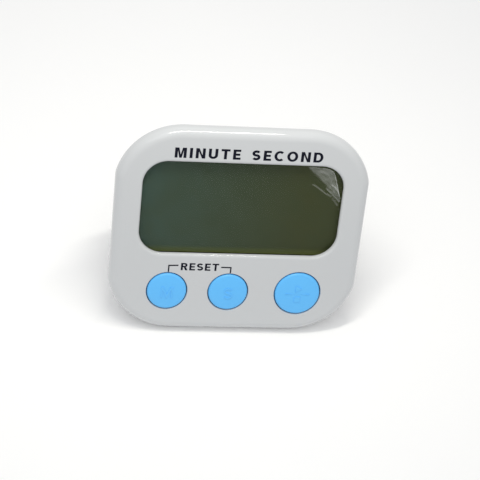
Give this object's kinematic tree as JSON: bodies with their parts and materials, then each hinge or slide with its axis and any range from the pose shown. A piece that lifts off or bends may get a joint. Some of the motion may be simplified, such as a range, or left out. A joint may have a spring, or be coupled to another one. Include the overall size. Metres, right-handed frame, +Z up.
{
  "type": "kitchen countdown timer",
  "caption": "Digital countdown timer with a wide display window, round push buttons, fold-out stand, battery door and magnet.",
  "frame": {"origin": "on the table, under the middle of the timer standing on its opened stand", "axes": "+Z up; the face looks towards -Y and leans back; +X is to the right of someone reading the face"},
  "size_m": [0.0706, 0.0428, 0.0558],
  "materials": {
    "white_abs": "gloss moulded ABS, cool white",
    "blue_abs": "semi-gloss moulded ABS, sky blue",
    "clear_lens": "clear glossy plastic",
    "clear_film": "thin clear film, creased at one corner",
    "display_polariser": "grey-green polarising film",
    "display_glass": "clear display glass",
    "display_reflector": "olive reflector film",
    "frame_plastic": "moulded ABS, natural white",
    "strip_rubber": "layered conductive rubber",
    "board_laminate": "green solder mask on glass-epoxy laminate",
    "keypad_rubber": "translucent grey silicone rubber",
    "pill_rubber": "carbon-filled rubber",
    "cell_steel": "bright nickel-plated steel",
    "contact_metal": "nickel-plated spring steel",
    "ferrite": "dark sintered ferrite",
    "sounder_brass": "thin rolled brass",
    "sounder_ceramic": "silvered piezo ceramic",
    "lead_red": "red insulated wire",
    "lead_black": "black insulated wire",
    "chip_resin": "black epoxy",
    "crystal_can": "plated metal can",
    "resistor_body": "black chip resistors",
    "capacitor_body": "tan ceramic chip capacitors",
    "inductor_coil": "enamelled copper winding on a ferrite core",
    "screw_steel": "zinc-plated steel"
  },
  "bodies": {
    "case": {"battery_cell": "cell_steel", "battery_contact_negative": "contact_metal", "battery_contact_positive": "contact_metal", "board_screws": "screw_steel", "boost_inductor": "inductor_coil", "capacitors": "capacitor_body", "case_screws": "screw_steel", "chip_cover": "chip_resin", "clock_crystal": "crystal_can", "contact_strip": "strip_rubber", "front_cover": "white_abs", "keypad_mat": "keypad_rubber", "lcd_frame": "frame_plastic", "lcd_front_glass": "display_glass", "lcd_front_polariser": "display_polariser", "lcd_rear_glass": "display_glass", "lcd_reflector": "display_reflector", "magnet": "ferrite", "main_board": "board_laminate", "protective_film": "clear_film", "rear_cover": "white_abs", "resistors": "resistor_body", "sounder_ceramic": "sounder_ceramic", "sounder_lead_black": "lead_black", "sounder_lead_red": "lead_red", "sounder_plate": "sounder_brass", "transistor": "chip_resin", "window_lens": "clear_lens"},
    "minute_button": {"minute_button": "blue_abs", "minute_pill": "pill_rubber"},
    "second_button": {"second_button": "blue_abs", "second_pill": "pill_rubber"},
    "start_button": {"start_button": "blue_abs", "start_pill": "pill_rubber"},
    "battery_door": {"battery_door": "white_abs"},
    "stand": {"stand": "white_abs"}
  },
  "joints": [
    {"name": "minute_press", "type": "slide", "parent": "case", "child": "minute_button", "axis": [0, 0.8988, -0.4384], "range_m": [0, 0.0006], "stiffness_N_per_m": 2500, "deforming": ["keypad_mat"]},
    {"name": "second_press", "type": "slide", "parent": "case", "child": "second_button", "axis": [0, 0.8988, -0.4384], "range_m": [0, 0.0006], "stiffness_N_per_m": 2500, "deforming": ["keypad_mat"]},
    {"name": "start_press", "type": "slide", "parent": "case", "child": "start_button", "axis": [0, 0.8988, -0.4384], "range_m": [0, 0.0006], "stiffness_N_per_m": 2500, "deforming": ["keypad_mat"]},
    {"name": "battery_door_turn", "type": "hinge", "parent": "case", "child": "battery_door", "pos_m": [-0.021, 0.00466, 0.02031], "axis": [0, 0.8988, -0.4384], "range_deg": [0, 50]},
    {"name": "stand_fold", "type": "hinge", "parent": "case", "child": "stand", "pos_m": [0, 0.0106, 0.03522], "axis": [1, 0, 0], "range_deg": [-42, 0]}
  ]
}
